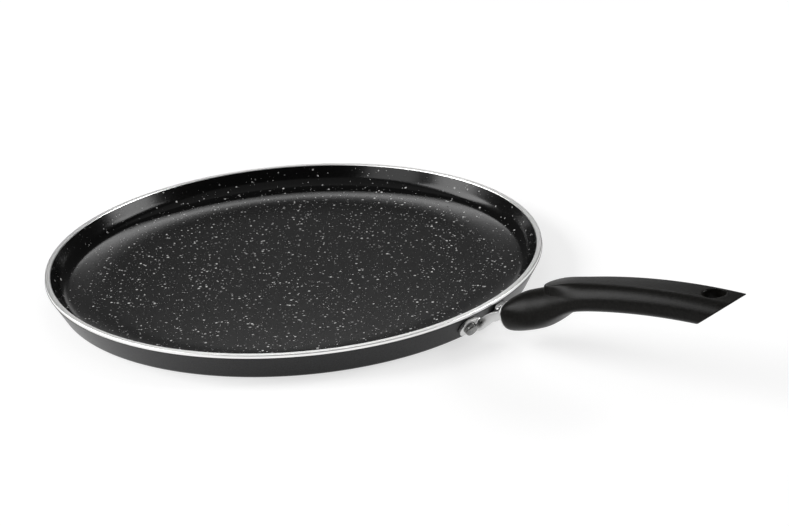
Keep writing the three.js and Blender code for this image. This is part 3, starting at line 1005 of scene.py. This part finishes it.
def bridge_bend(side):
    stations = []
    for share in np.linspace(0, 1, bend_steps):
        turn = share * math.pi / 2
        across = arm_offset - strap_bend * (1 - math.sin(turn))
        along = bridge_middle - strap_bend * (1 - math.cos(turn))
        half = bridge_half + (neck_half - bridge_half) * share
        heights = (-half - arm_drop * share, half - arm_drop * share)
        stations.append([stack_point(along, side * across, height) for height in heights])
    return stations


# %% Bracket arms
arm_steps, arm_bulge, arm_sag = 16, 1.1, 1.6


def arm_stations(neck, elbow):
    stations = []
    for step in range(1, arm_steps):
        share = step / arm_steps
        low, high = neck[0].lerp(elbow[0], share), neck[1].lerp(elbow[1], share)
        low.z -= arm_sag * math.sin(share * share * math.pi)
        high.z += arm_bulge * math.sin(share * math.pi)
        stations.append([low, high])
    return stations


def half_strip(side):
    bridge, wall = bridge_bend(side), wall_bend(side)
    return bridge + arm_stations(bridge[-1], wall[0]) + wall + foot_stations(side)[1:]


strip = half_strip(-1)[::-1] + half_strip(1)
print("bracket strip has", len(strip), "stations")

# %% Bracket
strap_ease, strap_sharp = 0.4 * mm, math.radians(50)


def strip_rings(stations):
    rings = []
    for i, (low, high) in enumerate(stations):
        before, after = stations[max(i - 1, 0)], stations[min(i + 1, len(stations) - 1)]
        along = after[0] + after[1] - before[0] - before[1]
        normal = (high - low).cross(along).normalized() * strap / 2
        rings.append(np.array([low - normal, low + normal, high + normal, high - normal]))
    return rings


bracket_mesh = skin_mesh("bracket_skin", strip_rings(strip))
bracket_mesh.materials.append(satin_steel)
bracket = bpy.data.objects.new("bracket", bracket_mesh)
bpy.context.scene.collection.objects.link(bracket)
ease = bracket.modifiers.new("ease", "BEVEL")
ease.width, ease.segments, ease.limit_method, ease.angle_limit = strap_ease, 3, "ANGLE", strap_sharp
bpy.context.view_layer.update()
eased = bpy.data.meshes.new_from_object(bracket.evaluated_get(bpy.context.evaluated_depsgraph_get()))
bpy.data.objects.remove(bracket)
eased.shade_smooth()
eased.set_sharp_from_angle(angle=edge_sharp)
add_piece("handle_bracket_fine", eased, "handle_bracket")

# %% [markdown]
# ## Fixing
# The screw, its lock washer and the brass insert sit inside the bracket and the grip, almost out of
# sight. Their CAD shapes are right, so they stay as they are and only get their metals.

# %% Fixing metals
fixing = {"handle_screw": screw_steel, "lock_washer": screw_steel, "threaded_insert": turned_brass}
for node_name, finish in fixing.items():
    node_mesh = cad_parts[node_name].data
    node_mesh.materials.clear()
    node_mesh.materials.append(finish)
    print(node_name, "takes", finish.name)

# %% [markdown]
# ## The floor
# The object stands on a plain pale floor that runs far past the picture. A white floor would throw
# more light on the dark pieces, so this one is a mid grey, and where the camera or a shiny surface
# sees it, a little glow lifts it to white. The glow lights nothing else, and the shadow stays.

# %% Floor
floor_half, floor_gray, floor_roughness, floor_glow = 8.0, 0.45, 0.9, 0.64
floor_mesh = bpy.data.meshes.new("floor")
floor_corners = [(x * floor_half, y * floor_half, 0) for x, y in ((-1, -1), (1, -1), (1, 1), (-1, 1))]
floor_mesh.from_pydata(floor_corners, [], [(0, 1, 2, 3)])
floor = bpy.data.objects.new("floor", floor_mesh)
bpy.context.scene.collection.objects.link(floor)
pale = bpy.data.materials.new("pale_floor")
pale.use_nodes = True
pale_tree = pale.node_tree
pale_shader = pale_tree.nodes["Principled BSDF"]
pale_shader.inputs["Base Color"].default_value = (floor_gray, floor_gray, floor_gray, 1)
pale_shader.inputs["Roughness"].default_value = floor_roughness
pale_shader.inputs["Specular IOR Level"].default_value = 0.0
pale_shader.inputs["Emission Color"].default_value = (1, 1, 1, 1)
ray = add_node(pale_tree, "ShaderNodeLightPath").outputs
seen = math_node(pale_tree, "MAXIMUM", ray["Is Camera Ray"], ray["Is Glossy Ray"])
seen = math_node(pale_tree, "MAXIMUM", seen, ray["Is Transmission Ray"])
glow = math_node(pale_tree, "MULTIPLY", seen, floor_glow)
pale_tree.links.new(glow, pale_shader.inputs["Emission Strength"])
floor_mesh.materials.append(pale)
print("floor is", 2 * floor_half, "m wide")

# %% [markdown]
# ## The light
# Dark glossy pieces are drawn by what they mirror, so the light is six softboxes and a dim world. A
# single strong lamp would leave most of the object black. A wide box overhead lights everything
# evenly. One behind gives the coats their sheen and the rim its shine, and a lower one behind lights
# the top of the grip. One on the left draws the long highlight along the grip. One in front, also to
# the left, lights the far side of the inner wall, and one on the right lights its left side.

# %% Lights


def softbox(name, target, turn, rise, distance, width, height, brightness):
    lamp = bpy.data.lights.new(name, "AREA")
    lamp.shape, lamp.size, lamp.size_y = "RECTANGLE", width, height
    lamp.energy = brightness * math.pi * width * height
    box = bpy.data.objects.new(name, lamp)
    bpy.context.scene.collection.objects.link(box)
    turn, rise = math.radians(turn), math.radians(rise)
    line = Vector((math.cos(turn) * math.cos(rise), math.sin(turn) * math.cos(rise), math.sin(rise)))
    box.location = Vector(target) * mm + line * distance
    box.rotation_euler = (-line).to_track_quat("-Z", "Y").to_euler()
    print(name, "gives", round(lamp.energy, 1), "W")


# Each row: name, aim in mm, turn and rise in degrees, distance, width and height in m, brightness.
for row in (
    ("overhead", (50, 0, 0), 135, 89, 2.2, 3.0, 3.0, 0.35),
    ("behind", (0, 0, 0), 135, 32, 3.5, 0.9, 0.42, 4.0),
    ("behind_low", (220, 0, 50), 133, 10.5, 4.0, 1.1, 0.6, 0.85),
    ("left", (220, 0, 45), 210, 28, 2.2, 1.3, 0.95, 9.0),
    ("front", (-40, 130, 10), 258, 30, 1.5, 0.6, 0.6, 3.5),
    ("right", (-137, 0, 11), 42, 27, 1.5, 0.62, 0.4, 10.0),
):
    softbox(*row)

# %% World
world_strength = 0.08
world = bpy.data.worlds.new("studio")
world.use_nodes = True
world.node_tree.nodes["Background"].inputs["Color"].default_value = (1, 1, 1, 1)
world.node_tree.nodes["Background"].inputs["Strength"].default_value = world_strength
bpy.context.scene.world = world
bpy.context.scene.view_settings.view_transform = "Standard"
print("world gives", world_strength)
